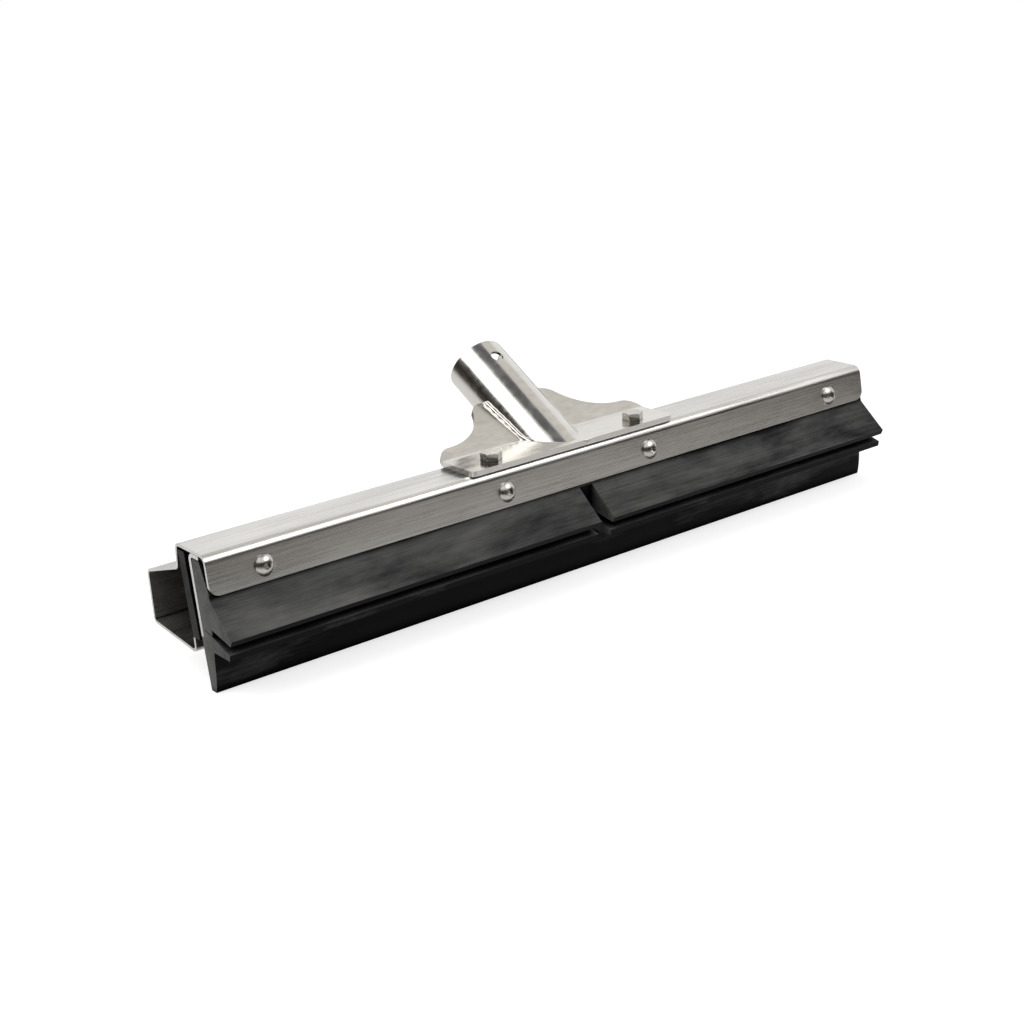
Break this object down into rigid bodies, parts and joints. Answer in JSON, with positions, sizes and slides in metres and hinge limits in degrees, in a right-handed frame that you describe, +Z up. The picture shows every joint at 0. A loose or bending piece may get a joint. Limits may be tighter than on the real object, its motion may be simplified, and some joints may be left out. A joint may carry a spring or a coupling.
{
  "type": "floor squeegee head",
  "caption": "Stainless floor squeegee head: folded channel with a rear trough, clamped rubber wiper with two front lips, and an angled round handle socket on a bolted bracket",
  "frame": {"origin": "middle of the wiper's foot, the flat face that meets the floor", "axes": "+X along the head, +Y back towards the handle, +Z up"},
  "size_m": [0.45, 0.1109, 0.1131],
  "materials": {
    "brushed_steel": "stainless sheet, grain along the head",
    "bracket_steel": "stainless, tumbled, softly bright",
    "fastener_steel": "stainless, bright",
    "black_rubber": "matte extruded rubber"
  },
  "bodies": {
    "root": {"head_frame": "brushed_steel", "clamp_plate": "brushed_steel", "wiper_blade": "black_rubber", "rear_strip": "black_rubber", "bracket_lower_sheet": "bracket_steel", "bracket_upper_sheet": "bracket_steel", "socket_tube": "bracket_steel", "socket_weld": "bracket_steel", "flange_screw_1": "fastener_steel", "flange_screw_2": "fastener_steel", "flange_screw_3": "fastener_steel", "flange_screw_4": "fastener_steel", "clamp_nut_1": "fastener_steel", "clamp_nut_2": "fastener_steel", "clamp_nut_3": "fastener_steel", "clamp_nut_4": "fastener_steel", "bracket_bolt_left": "fastener_steel", "bracket_bolt_right": "fastener_steel", "bracket_nut_left": "fastener_steel", "bracket_nut_right": "fastener_steel"}
  },
  "joints": []
}
